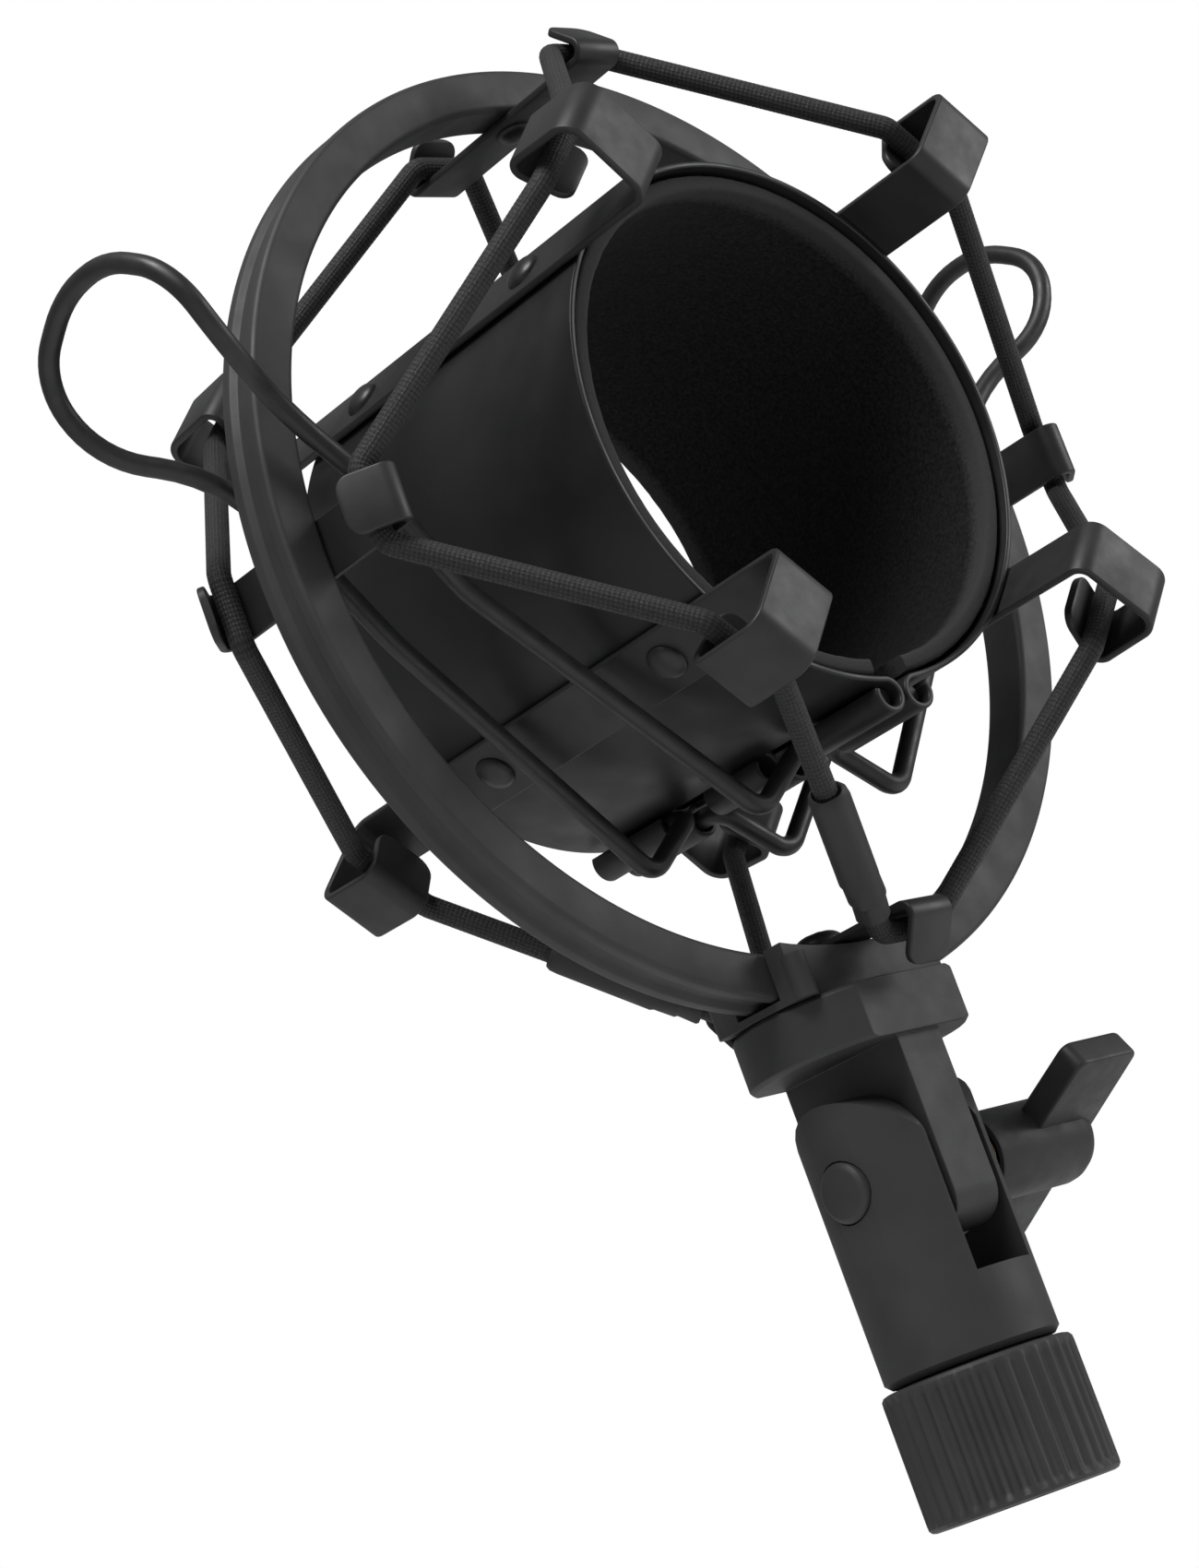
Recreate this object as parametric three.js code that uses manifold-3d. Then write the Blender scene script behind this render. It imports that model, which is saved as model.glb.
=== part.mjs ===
// A spider shock mount for a studio microphone. A spring-steel cradle hangs inside an outer ring on two
// elastic cords. The ring stands on a tilting foot, a forked stem and a knurled collar with a 5/8 inch thread.
// Millimetres, +Z up, +X to the right, the front of the cradle at -Y, origin at the centre of the collar's
// bottom face.
import * as THREE from "three";
import { mergeVertices } from "three/addons/utils/BufferGeometryUtils.js";
import Module from "manifold-3d";

const wasm = await Module();
wasm.setup();

// ---- driving dimensions ----
const GAP = 0.3; // clearance between pieces that are cut to fit each other
const HAIR = 0.05; // clearance between flat faces that meet

// Collar and stem, round the Z axis.
const COLLAR = { r: 9.6, height: 13.5, bore: 7.95, lip: 3, lipHole: 6.8, chamfer: 0.6, ribs: 36, rib: 0.5 };
const STEM = { r: 8.8, spigot: 6.4, spigotEnd: 8.2, groove: 5.5, slotHalf: 3.75, slotFloor: 21.3, ear: 8.5 };
const CLIP_RING = { inner: 5.7, outer: 7.5, bottom: 9.0, top: 10.0, gapHalf: 1.6 };

// The tilt joint, round an X axis at this height.
const PIVOT_Z = 32.3;
const BOLT = { r: 2.1, hole: 2.3, headR: 2.95, headFace: -9.2, seat: -7.9, end: 20.2 };
const WASHER = { r: 7, inner: 3.12, thick: 0.5 };
const KNOB = { r: 4.55, start: 9.2, end: 25, bore: 3.75, boreEnd: 21 };
const WING = { start: 15.6, reach: 12.9, corner: 2, thick: 2.9, lean: 62 };
const INSERT = { r: 3.55, start: 9.4, end: 20.5 };

// The foot that carries the ring.
const FLANGE = { r: 11.2, bottom: 44.5, top: 50.2, recess: 8, recessFloor: 48.6, flat: 8.9 };
const TONGUE = { half: 3, deep: 8.1, low: 6.7, corner: 3.5 };
const SADDLE = { left: -11, right: 9.5, deep: 5.6, plugR: 7.7, plugBottom: 48.7, top: 57 };
const SADDLE_RIB = { r: 1.2, x: -10, top: 54.6 };
const SCREW = { r: 1.5, hole: 1.75, headR: 2.6, headHigh: 1.6, end: 45.2 };

// The outer ring, round a Y axis at this height.
const RING_Z = 100.6;
const RING = { outer: 50.5, inner: 45.9, half: 2.8, groove: 0.55 };
const RING_SEGMENTS = 72;

// Bent sheet hooks. Each outline runs outwards along the strip, as [radius, distance from the middle].
const SHEET = 0.8;
const RING_HOOK = { width: 5.7, r: 45.25, bendAt: 15.9, tip: [50.1, 10.9], bottomTip: [50.7, 12.2] };
const CRADLE_HOOK = { width: 6.8, r: 28.1, foldY: 33.4, outR: 38.5, backY: 24.5, tabR: 32.1, tabY: 26.7 };
const RIVET = { r: 1, hole: 1.2, headR: 2, headHigh: 0.95, y: 13.3 };

// The cradle sleeve, round a Y axis at this height.
const CRADLE_Z = 102.4;
const SLEEVE = { r: 27.3, thick: 0.6, half: 21.75, spine: 10, split: 10.6 };
const CURL = { r: 1.55, x: 2.02, turn: 290, notchIn: 4, notchOut: 10.6 };
const LINING = { inner: 24.9, outer: 26.5, half: 21, from: 1, to: 175 };

// The wire handles: the left one's front half, from its end in the curl to the middle of the finger loop.
const WIRE_R = 1;
const WIRE_SIDES = 8;
const CURL_Z = CRADLE_Z - Math.sqrt((SLEEVE.r + CURL.r) ** 2 - CURL.x ** 2);
const HANDLE_HALF = [
  [-CURL.x, -20.5, CURL_Z, 0],
  [-CURL.x, -8.2, CURL_Z, 1.9],
  [-9.7, -8.2, 68.1, 2.2],
  [-34.2, -5.8, 93.9, 12],
  [-40.6, -6.1, 104.3, 12],
  [-48.5, -6.4, 112.3, 17],
  [-56.5, -11.1, 116.6, 10.8],
  [-60, -10.9, 124.6, 7.4],
  [-60.4, -3.6, 129.4, 10.8],
];

// The elastic cords.
const CORD_R = 1.15;
const CORD_SIDES = 8;
const CORD_BEND = 1.9;
const CORD_ON_RING = { r: 47.0, y: 11.4, side: 3.9 };
const CORD_ON_CRADLE = { r: 35.6, y: 27.3, side: 4.6 };
const CRIMP = { r: 2.1, bore: 1.35, half: 8, from: 10.4 };

// ---- materials ----
const finish = (color, roughness, metalness) =>
  new THREE.MeshStandardMaterial({ color, roughness, metalness });
const BLACK_PAINT = finish(0x2b2b2c, 0.6, 0.2);
const BLACK_STEEL = finish(0x1f1f20, 0.45, 0.6);
const BLACK_PLASTIC = finish(0x232324, 0.55, 0);
const BLACK_FOAM = finish(0x141415, 0.95, 0);
const BLACK_CORD = finish(0x161617, 0.9, 0);
const BRASS = finish(0xb08d4a, 0.35, 0.9);
const NYLON = finish(0xd9d6cc, 0.6, 0);

// ---- shape tools ----
const radians = THREE.MathUtils.degToRad;

// A closed geometry as a manifold solid.
function solid(geometry) {
  const bare = geometry.clone();
  bare.deleteAttribute("normal");
  bare.deleteAttribute("uv");
  const merged = mergeVertices(bare, 1e-4);
  return new wasm.Manifold(
    new wasm.Mesh({
      numProp: 3,
      vertProperties: merged.attributes.position.array,
      triVerts: new Uint32Array(merged.index.array),
    }),
  );
}

// A manifold solid as a geometry.
function geometryOf(made) {
  const mesh = made.getMesh();
  const geometry = new THREE.BufferGeometry();
  geometry.setAttribute("position", new THREE.BufferAttribute(mesh.vertProperties, 3));
  geometry.setIndex(new THREE.BufferAttribute(mesh.triVerts, 1));
  return geometry;
}

const join = (first, ...rest) => rest.reduce((sum, s) => sum.add(s), first);
const cut = (first, ...rest) => rest.reduce((sum, s) => sum.subtract(s), first);

// A box between two corners.
function box(x0, y0, z0, x1, y1, z1) {
  const made = new THREE.BoxGeometry(x1 - x0, y1 - y0, z1 - z0);
  made.translate((x0 + x1) / 2, (y0 + y1) / 2, (z0 + z1) / 2);
  return solid(made);
}

// A turned piece round Z from [radius, z] points that go round anticlockwise; a repeated first point closes
// a hollow one.
function turned(points, segments) {
  const made = new THREE.LatheGeometry(points.map(([r, z]) => new THREE.Vector2(r, z)), segments);
  made.rotateX(Math.PI / 2);
  return made;
}

const ringPoints = (inner, outer, z0, z1) => [
  [inner, z0],
  [outer, z0],
  [outer, z1],
  [inner, z1],
  [inner, z0],
];

const rod = (r, z0, z1, segments = 24) =>
  solid(turned([[0, z0], [r, z0], [r, z1], [0, z1]], segments));

// Turns a piece made round Z onto an X axis at the pivot, or onto a Y axis at the height given.
const alongX = (geometry) => geometry.rotateY(Math.PI / 2).translate(0, 0, PIVOT_Z);
const alongY = (geometry, z) => geometry.rotateX(Math.PI / 2).translate(0, 0, z);

const rodX = (r, x0, x1, segments = 24) =>
  solid(alongX(turned([[0, x0], [r, x0], [r, x1], [0, x1]], segments)));

// The outline of a bent sheet: a line of [a, b] points given the sheet's thickness.
function sheetOutline(line, thick) {
  const at = line.map(([a, b]) => new THREE.Vector2(a, b));
  const sides = at.map((p, i) => {
    const before = p.clone().sub(at[Math.max(i - 1, 0)]);
    const after = at[Math.min(i + 1, at.length - 1)].clone().sub(p);
    if (!before.lengthSq()) before.copy(after);
    if (!after.lengthSq()) after.copy(before);
    before.normalize();
    after.normalize();
    const along = before.clone().add(after).normalize();
    const reach = thick / 2 / Math.max(along.dot(after), 0.5);
    return new THREE.Vector2(-along.y, along.x).multiplyScalar(reach);
  });
  const left = at.map((p, i) => p.clone().add(sides[i]));
  const right = at.map((p, i) => p.clone().sub(sides[i])).reverse();
  return new THREE.Shape([...left, ...right]);
}

// A line of [a, b, radius] points with each corner rounded to its radius, in steps of about 25 degrees.
function rounded(corners) {
  const points = corners.map((c) => new THREE.Vector3(c[0], c[1], c.length > 3 ? c[2] : 0));
  const line = [points[0]];
  for (let i = 1; i < points.length - 1; i++) {
    const radius = corners[i][corners[i].length - 1];
    const before = points[i - 1].clone().sub(points[i]).normalize();
    const after = points[i + 1].clone().sub(points[i]).normalize();
    const half = before.angleTo(after) / 2;
    const turn = Math.PI - 2 * half;
    const steps = Math.max(1, Math.round(turn / radians(25)));
    const middle = before.clone().add(after).normalize().multiplyScalar(radius / Math.sin(half));
    const centre = points[i].clone().add(middle);
    const start = points[i].clone().addScaledVector(before, radius / Math.tan(half)).sub(centre);
    const axis = before.clone().cross(after).normalize();
    for (let s = 0; s <= steps; s++)
      line.push(start.clone().applyAxisAngle(axis, (-turn * s) / steps).add(centre));
  }
  line.push(points[points.length - 1]);
  return line;
}

// A route whose stations are exactly the points of a line, so that straight stretches take one step.
class Route extends THREE.Curve {
  constructor(line) {
    super();
    this.line = line;
  }
  getPoint(t) {
    const place = Math.min(Math.max(t, 0), 1) * (this.line.length - 1);
    const i = Math.min(Math.floor(place), this.line.length - 2);
    return this.line[i].clone().lerp(this.line[i + 1], place - i);
  }
  getPointAt(u) {
    return this.getPoint(u);
  }
  getTangentAt(u) {
    return this.getTangent(u);
  }
}

// A round bar along a line of 3-D points.
function bar(line, r, sides) {
  const section = new THREE.Shape();
  section.absarc(0, 0, r, 0, 2 * Math.PI, false);
  const extrudePath = new Route(line);
  return new THREE.ExtrudeGeometry(section, {
    steps: line.length - 1,
    curveSegments: sides / 2,
    extrudePath,
  });
}

// Puts a piece made with [radius, y] in the X and Y of a flat outline, extruded along Z, at an angle
// clockwise from straight up round a Y axis at the height given.
function roundAxis(geometry, angle, z) {
  const turn = new THREE.Matrix4().makeBasis(
    new THREE.Vector3(Math.sin(angle), 0, Math.cos(angle)),
    new THREE.Vector3(0, 1, 0),
    new THREE.Vector3(-Math.cos(angle), 0, Math.sin(angle)),
  );
  return geometry.applyMatrix4(turn).translate(0, 0, z);
}

// A sector of a tube round the cradle's axis, between two angles clockwise from straight up.
function arcLine(r, from, to, steps) {
  return Array.from({ length: steps + 1 }, (_, i) => {
    const a = radians(from + ((to - from) * i) / steps);
    return [r * Math.sin(a), r * Math.cos(a)];
  });
}

// Extrudes an outline in X and Z, given relative to the cradle's axis, along the cradle.
function alongCradle(outline, half) {
  const made = new THREE.ExtrudeGeometry(outline, { depth: 2 * half, bevelEnabled: false, steps: 1 });
  made.rotateX(Math.PI / 2).translate(0, half, CRADLE_Z);
  return made;
}

// ---- the group ----
const mount = new THREE.Group();
function add(name, geometry, material) {
  const mesh = new THREE.Mesh(geometry, material);
  mesh.name = name;
  mount.add(mesh);
}

// ---- collar ----
function knurledCollar() {
  const { r, height, bore, lip, lipHole, chamfer, ribs, rib } = COLLAR;
  const made = turned(
    [
      [bore, 0],
      [r - chamfer, 0],
      [r, chamfer],
      [r, height - chamfer],
      [r - chamfer, height],
      [lipHole, height],
      [lipHole, height - lip],
      [bore, height - lip],
      [bore, 0],
    ],
    2 * ribs,
  );
  const place = made.attributes.position;
  for (let i = 0; i < place.count; i++) {
    const x = place.getX(i);
    const y = place.getY(i);
    const tooth = Math.round((Math.atan2(y, x) / Math.PI) * ribs);
    if (Math.hypot(x, y) < r - 0.01 || tooth % 2 === 0) continue;
    place.setXY(i, x * (1 - rib / r), y * (1 - rib / r));
  }
  return made;
}

function retainingRing() {
  const { inner, outer, bottom, top, gapHalf } = CLIP_RING;
  const whole = solid(turned(ringPoints(inner, outer, bottom, top), 36));
  return geometryOf(cut(whole, box(0, -gapHalf, bottom - 1, outer + 1, gapHalf, top + 1)));
}

// ---- stem ----
function stemYoke() {
  const { r, spigot, spigotEnd, groove, slotHalf, slotFloor, ear } = STEM;
  const foot = COLLAR.height + GAP;
  const top = PIVOT_Z + ear;
  const turnedStem = solid(
    turned(
      [
        [0, spigotEnd],
        [spigot - 0.5, spigotEnd],
        [spigot, spigotEnd + 0.5],
        [spigot, CLIP_RING.bottom - 0.1],
        [groove, CLIP_RING.bottom - 0.1],
        [groove, CLIP_RING.top + 0.1],
        [spigot, CLIP_RING.top + 0.1],
        [spigot, foot],
        [r - 0.6, foot],
        [r, foot + 0.6],
        [r, top],
        [0, top],
      ],
      40,
    ),
  );
  const side = new THREE.Shape();
  side.moveTo(-r - 1, 0);
  side.lineTo(r + 1, 0);
  side.lineTo(r + 1, PIVOT_Z - 3);
  side.lineTo(ear, PIVOT_Z);
  side.absarc(0, PIVOT_Z, ear, 0, Math.PI, false);
  side.lineTo(-r - 1, PIVOT_Z - 3);
  const cheeks = new THREE.ExtrudeGeometry(side, { depth: 2 * r + 2, bevelEnabled: false, curveSegments: 10 });
  cheeks.translate(0, 0, -r - 1);
  cheeks.applyMatrix4(
    new THREE.Matrix4().makeBasis(
      new THREE.Vector3(0, 1, 0),
      new THREE.Vector3(0, 0, 1),
      new THREE.Vector3(1, 0, 0),
    ),
  );
  const fork = turnedStem.intersect(solid(cheeks));
  const slot = box(-slotHalf, -r - 1, slotFloor, slotHalf, r + 1, top + 1);
  const hole = rodX(BOLT.hole, -r - 1, r + 1);
  const headSeat = rodX(BOLT.headR + 0.15, -r - 1, BOLT.seat);
  return geometryOf(cut(fork, slot, hole, headSeat));
}

function pivotBolt() {
  const { r, headR, headFace, seat, end } = BOLT;
  const chamfer = 0.5;
  return alongX(
    turned(
      [
        [0, headFace],
        [headR - chamfer, headFace],
        [headR, headFace + chamfer],
        [headR, seat - HAIR],
        [r, seat - HAIR],
        [r, end - 0.5],
        [r - 0.5, end],
        [0, end],
      ],
      24,
    ),
  );
}

function frictionWasher(side) {
  const { r, inner, thick } = WASHER;
  const from = side < 0 ? -inner - thick : inner;
  return alongX(turned(ringPoints(BOLT.hole, r, from, from + thick), 28));
}

// ---- wing knob ----
function wingKnob() {
  const { r, start, end, bore, boreEnd } = KNOB;
  const boss = solid(
    alongX(
      turned(
        [
          [0, start],
          [r - 0.4, start],
          [r, start + 0.4],
          [r, end - 2.6],
          [r - 0.5, end - 1.2],
          [r - 1.6, end - 0.3],
          [0, end],
        ],
        28,
      ),
    ),
  );
  const outline = new THREE.Shape();
  const { corner, reach: far } = WING;
  outline.moveTo(WING.start, 0);
  outline.lineTo(WING.start + 0.4, far - corner);
  outline.absarc(WING.start + 0.4 + corner, far - corner, corner, Math.PI, Math.PI / 2, true);
  outline.absarc(end - corner, far - corner, corner, Math.PI / 2, 0, true);
  outline.lineTo(end - 0.6, 0);
  const wings = [0, 180].map((turn) => {
    const wing = new THREE.ExtrudeGeometry(outline, {
      depth: WING.thick - 1,
      bevelEnabled: true,
      bevelThickness: 0.5,
      bevelSize: 0.5,
      bevelOffset: -0.5,
      bevelSegments: 1,
      curveSegments: 4,
    });
    wing.translate(0, 0, -WING.thick / 2 + 0.5).rotateX(Math.PI / 2 + radians(WING.lean + turn));
    return solid(wing.translate(0, 0, PIVOT_Z));
  });
  const core = rodX(bore, start - 1, boreEnd, 28);
  return geometryOf(cut(join(boss, ...wings), core));
}

function knobInsert() {
  const { r, start, end } = INSERT;
  return alongX(turned(ringPoints(BOLT.r + 0.12, r, start, end), 16));
}

// ---- foot ----
const screwHole = () => rod(SCREW.hole, SCREW.end - GAP, RING_Z, 16);

function tiltFoot() {
  const { r, bottom, top, recess, recessFloor, flat } = FLANGE;
  const flange = solid(
    turned(
      [
        [0, bottom],
        [r - 0.4, bottom],
        [r, bottom + 0.4],
        [r, top - 0.4],
        [r - 0.4, top],
        [recess, top],
        [recess, recessFloor],
        [0, recessFloor],
      ],
      40,
    ),
  );
  const { half, deep, low, corner } = TONGUE;
  const side = new THREE.Shape();
  side.moveTo(-deep, bottom + 1);
  side.lineTo(-deep, PIVOT_Z - low + corner);
  side.absarc(-deep + corner, PIVOT_Z - low + corner, corner, Math.PI, 1.5 * Math.PI, false);
  side.absarc(deep - corner, PIVOT_Z - low + corner, corner, 1.5 * Math.PI, 2 * Math.PI, false);
  side.lineTo(deep, bottom + 1);
  const plate = new THREE.ExtrudeGeometry(side, { depth: 2 * half, bevelEnabled: false, curveSegments: 6 });
  plate.rotateX(Math.PI / 2).rotateZ(Math.PI / 2).translate(-half, 0, 0);
  const flats = [-1, 1].map((end) => {
    const near = Math.min(end * flat, end * (r + 1));
    return box(-r, near, bottom - 1, r, near + r + 1 - flat, top + 1);
  });
  const body = join(cut(flange, ...flats), solid(plate));
  return geometryOf(cut(body, rodX(BOLT.hole, -half - 1, half + 1), screwHole()));
}

function ringSaddle() {
  const { left, right, deep, plugR, plugBottom, top } = SADDLE;
  const base = FLANGE.top + HAIR;
  const plug = rod(plugR, plugBottom, base + 0.3, 40);
  const block = box(left, -deep, base, right, deep, top);
  const bowlR = RING.inner + 0.1;
  const bowlHalf = deep + 1;
  const bowl = solid(
    alongY(turned([[0, -bowlHalf], [bowlR, -bowlHalf], [bowlR, bowlHalf], [0, bowlHalf]], 120), RING_Z),
  );
  const channelHalf = RING.half + GAP;
  const channel = solid(
    alongY(turned(ringPoints(RING.inner - 2, RING.outer + GAP, -channelHalf, channelHalf), 120), RING_Z),
  );
  const ribs = [-1, 1].map((end) =>
    rod(SADDLE_RIB.r, base, SADDLE_RIB.top, 16).translate([SADDLE_RIB.x, end * deep, 0]),
  );
  return geometryOf(cut(join(plug, block, ...ribs), bowl, channel, screwHole()));
}

function footScrew() {
  const { r, headR, headHigh, end } = SCREW;
  const seat = RING_Z - RING_HOOK.r + SHEET / 2 + HAIR;
  return turned(
    [
      [0, end],
      [r - 0.4, end],
      [r, end + 0.4],
      [r, seat],
      [headR, seat],
      [headR, seat + 0.4],
      [headR * 0.8, seat + headHigh - 0.4],
      [headR * 0.4, seat + headHigh],
      [0, seat + headHigh],
    ],
    16,
  );
}

// ---- outer ring ----
const SIDES = { top: 0, right: 90, bottom: 180, left: 270 };

// A rod that points out from a Y axis at the height given.
const spoke = (r, from, to, y, angle, z) =>
  solid(
    new THREE.LatheGeometry([[0, from], [r, from], [r, to], [0, to]].map((p) => new THREE.Vector2(...p)), 12)
      .rotateX(Math.PI / 2)
      .translate(0, y, 0)
      .rotateY(radians(angle))
      .translate(0, 0, z),
  );

function outerRing() {
  const { outer, inner, half, groove } = RING;
  const edge = 0.5;
  const body = solid(
    alongY(
      turned(
        [
          [inner, -half + edge],
          [inner + edge, -half],
          [outer - edge, -half],
          [outer, -half + edge],
          [outer, -half + 1.2],
          [outer - groove, -half + 1.8],
          [outer - groove, half - 2.1],
          [outer, half - 1.6],
          [outer, half - edge],
          [outer - edge, half],
          [inner + edge, half],
          [inner, half - edge],
          [inner, -half + edge],
        ],
        RING_SEGMENTS,
      ),
      RING_Z,
    ),
  );
  const holes = Object.values(SIDES).map((angle) =>
    spoke(angle === SIDES.bottom ? SCREW.hole : RIVET.hole, inner - 1, outer + 1, 0, angle, RING_Z),
  );
  return geometryOf(cut(body, ...holes));
}

// ---- hooks ----
function strip(half, width) {
  const mirrored = half.map(([r, y, bend]) => [r, -y, bend]).reverse();
  const line = rounded([...mirrored, ...half]).map((p) => [p.x, p.y]);
  const made = new THREE.ExtrudeGeometry(sheetOutline(line, SHEET), { depth: width, bevelEnabled: false });
  return made.translate(0, 0, -width / 2);
}

function ringHook(angle) {
  const { width, r, bendAt, tip, bottomTip } = RING_HOOK;
  const end = angle === SIDES.bottom ? bottomTip : tip;
  const half = [
    [r, bendAt, 0.9],
    [...end, 0],
  ];
  const made = solid(roundAxis(strip(half, width), radians(angle), RING_Z));
  const hole = angle === SIDES.bottom ? SCREW.hole : RIVET.hole;
  return geometryOf(cut(made, spoke(hole, r - 2, r + 2, 0, angle, RING_Z)));
}

function cradleHook(angle) {
  const { width, r, foldY, outR, backY, tabR, tabY } = CRADLE_HOOK;
  const half = [
    [r, foldY - 0.6, 1.2],
    [outR - 0.4, foldY, 1.6],
    [outR, backY, 1],
    [tabR, tabY, 0],
  ];
  const made = solid(roundAxis(strip(half, width), radians(angle), CRADLE_Z));
  const holes = [-1, 1].map((end) => spoke(RIVET.hole, r - 2, r + 2, end * RIVET.y, angle, CRADLE_Z));
  return geometryOf(cut(made, ...holes));
}

// A dome-headed rivet from one radius out to the seat of its head; the head is inside when inwards is 1.
function rivet(shankFrom, seat, y, angle, z, inwards) {
  const { r, headR, headHigh } = RIVET;
  const way = inwards ? -1 : 1;
  const profile = [
    [0, shankFrom],
    [r, shankFrom],
    [r, seat],
    [headR, seat],
    [headR * 0.85, seat + way * headHigh * 0.6],
    [headR * 0.45, seat + way * headHigh],
    [0, seat + way * headHigh],
  ];
  const points = (inwards ? profile.reverse() : profile).map((p) => new THREE.Vector2(...p));
  return new THREE.LatheGeometry(points, 12)
    .rotateX(Math.PI / 2)
    .translate(0, y, 0)
    .rotateY(radians(angle))
    .translate(0, 0, z);
}

// ---- cradle sleeve ----
function sleeveSpine() {
  const { r, half, spine } = SLEEVE;
  return alongCradle(sheetOutline(arcLine(r, -spine, spine, 6), SLEEVE.thick), half);
}

// One half of the sleeve, with its lower edge curled into the tube that holds a handle. The curl is cut
// away where the wire comes out. side is -1 on the left and 1 on the right.
function sleeveShell(side, hookAngles) {
  const { r, half, split } = SLEEVE;
  const turnAt = 180 - THREE.MathUtils.radToDeg(Math.asin(CURL.x / (r + CURL.r)));
  const sheet = arcLine(r, split, turnAt, 32);
  const centre = new THREE.Vector2(CURL.x, CURL_Z - CRADLE_Z);
  const first = Math.atan2(sheet.at(-1)[1] - centre.y, sheet.at(-1)[0] - centre.x);
  const curlSteps = 12;
  const curl = Array.from({ length: curlSteps }, (_, i) => {
    const a = first + radians((CURL.turn * (i + 1)) / curlSteps);
    return [centre.x + CURL.r * Math.cos(a), centre.y + CURL.r * Math.sin(a)];
  });
  const line = [...sheet, ...curl].map(([x, z]) => [side * x, z]);
  const body = solid(alongCradle(sheetOutline(line, SLEEVE.thick), half));
  const roof = CURL_Z + CURL.r - SLEEVE.thick / 2 - 0.12;
  const notches = [-1, 1].map((end) => {
    const near = Math.min(end * CURL.notchIn, end * CURL.notchOut);
    const xNear = Math.min(0, side * 5);
    return box(xNear, near, roof - 6, xNear + 5, near + CURL.notchOut - CURL.notchIn, roof);
  });
  const holes = hookAngles.flatMap((angle) =>
    [-1, 1].map((end) => spoke(RIVET.hole, r - 2, r + 2, end * RIVET.y, angle, CRADLE_Z)),
  );
  return geometryOf(cut(body, ...notches, ...holes));
}

function lining(side) {
  const { inner, outer, half, from, to } = LINING;
  const middle = (inner + outer) / 2;
  const line = arcLine(middle, from, to, 28).map(([x, z]) => [side * x, z]);
  return alongCradle(sheetOutline(line, outer - inner), half);
}

// ---- handles ----
function handle(side) {
  const front = HANDLE_HALF.map(([x, y, z, bend]) => [-side * x, y, z, bend]);
  const rear = front.map(([x, y, z, bend]) => [x, -y, z, bend]).reverse();
  return bar(rounded([...front, ...rear]), WIRE_R, WIRE_SIDES);
}

// ---- cords ----
const HOOK_ANGLES = { upper_right: 45, lower_right: 135, lower_left: 225, upper_left: 315 };

// Where the cord turns beside a hook: a point on the circle at an angle, moved sideways along the tangent.
function besideHook(at, angle, way, z, end) {
  const a = radians(angle);
  const x = at.r * Math.sin(a) + way * at.side * Math.cos(a);
  const up = at.r * Math.cos(a) - way * at.side * Math.sin(a);
  return [x, end * at.y, z + up, CORD_BEND];
}

// The corners of one cord clockwise from the bottom ring hook, which come back to it.
function cordCorners(end) {
  const stops = [180, 225, 270, 315, 0, 45, 90, 135, 180];
  return stops.flatMap((angle, i) => {
    const onRing = i % 2 === 0;
    const at = onRing ? CORD_ON_RING : CORD_ON_CRADLE;
    const z = onRing ? RING_Z : CRADLE_Z;
    return [-1, 1].map((way) => besideHook(at, angle, way, z, end));
  });
}

// The join of each cord lies on the span from the bottom ring hook to the lower left cradle hook.
function joinPlace(end) {
  const corners = cordCorners(end).map((c) => new THREE.Vector3(c[0], c[1], c[2]));
  const along = corners[2].clone().sub(corners[1]).normalize();
  return { at: corners[1].clone().addScaledVector(along, CRIMP.from), along };
}

function cord(end) {
  const corners = cordCorners(end);
  const { at, along } = joinPlace(end);
  const first = at.clone().addScaledVector(along, HAIR * 2);
  const last = at.clone().addScaledVector(along, -HAIR * 2);
  const route = [
    [...first.toArray(), 0],
    ...corners.slice(2, -2),
    corners[0],
    corners[1],
    [...last.toArray(), 0],
  ];
  return bar(rounded(route), CORD_R, CORD_SIDES);
}

function crimpSleeve(end) {
  const { r, bore, half } = CRIMP;
  const { at, along } = joinPlace(end);
  const step = 0.35;
  const made = turned(
    [
      [bore, -half],
      [r - step, -half],
      [r - step, -half + 3],
      [r, -half + 3.4],
      [r, half - 1],
      [r - step, half],
      [bore, half],
      [bore, -half],
    ],
    16,
  );
  const turn = new THREE.Quaternion().setFromUnitVectors(new THREE.Vector3(0, 0, 1), along);
  return made.applyQuaternion(turn).translate(...at.toArray());
}

// ---- assembly ----
add("knurled_collar", knurledCollar(), BLACK_PAINT);
add("retaining_ring", retainingRing(), BLACK_STEEL);
add("stem_yoke", stemYoke(), BLACK_PAINT);
add("pivot_bolt", pivotBolt(), BLACK_STEEL);
add("friction_washer_left", frictionWasher(-1), NYLON);
add("friction_washer_right", frictionWasher(1), NYLON);
add("wing_knob", wingKnob(), BLACK_PLASTIC);
add("knob_insert", knobInsert(), BRASS);
add("tilt_foot", tiltFoot(), BLACK_PAINT);
add("ring_saddle", ringSaddle(), BLACK_PAINT);
add("foot_screw", footScrew(), BLACK_STEEL);
add("outer_ring", outerRing(), BLACK_PAINT);

for (const [side, angle] of Object.entries(SIDES)) {
  add("ring_hook_" + side, ringHook(angle), BLACK_PAINT);
  if (angle === SIDES.bottom) continue;
  const seat = RING_HOOK.r - SHEET / 2 - HAIR;
  add("ring_rivet_" + side, rivet(RING.outer - RING.groove - HAIR, seat, 0, angle, RING_Z, 1), BLACK_STEEL);
}

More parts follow.
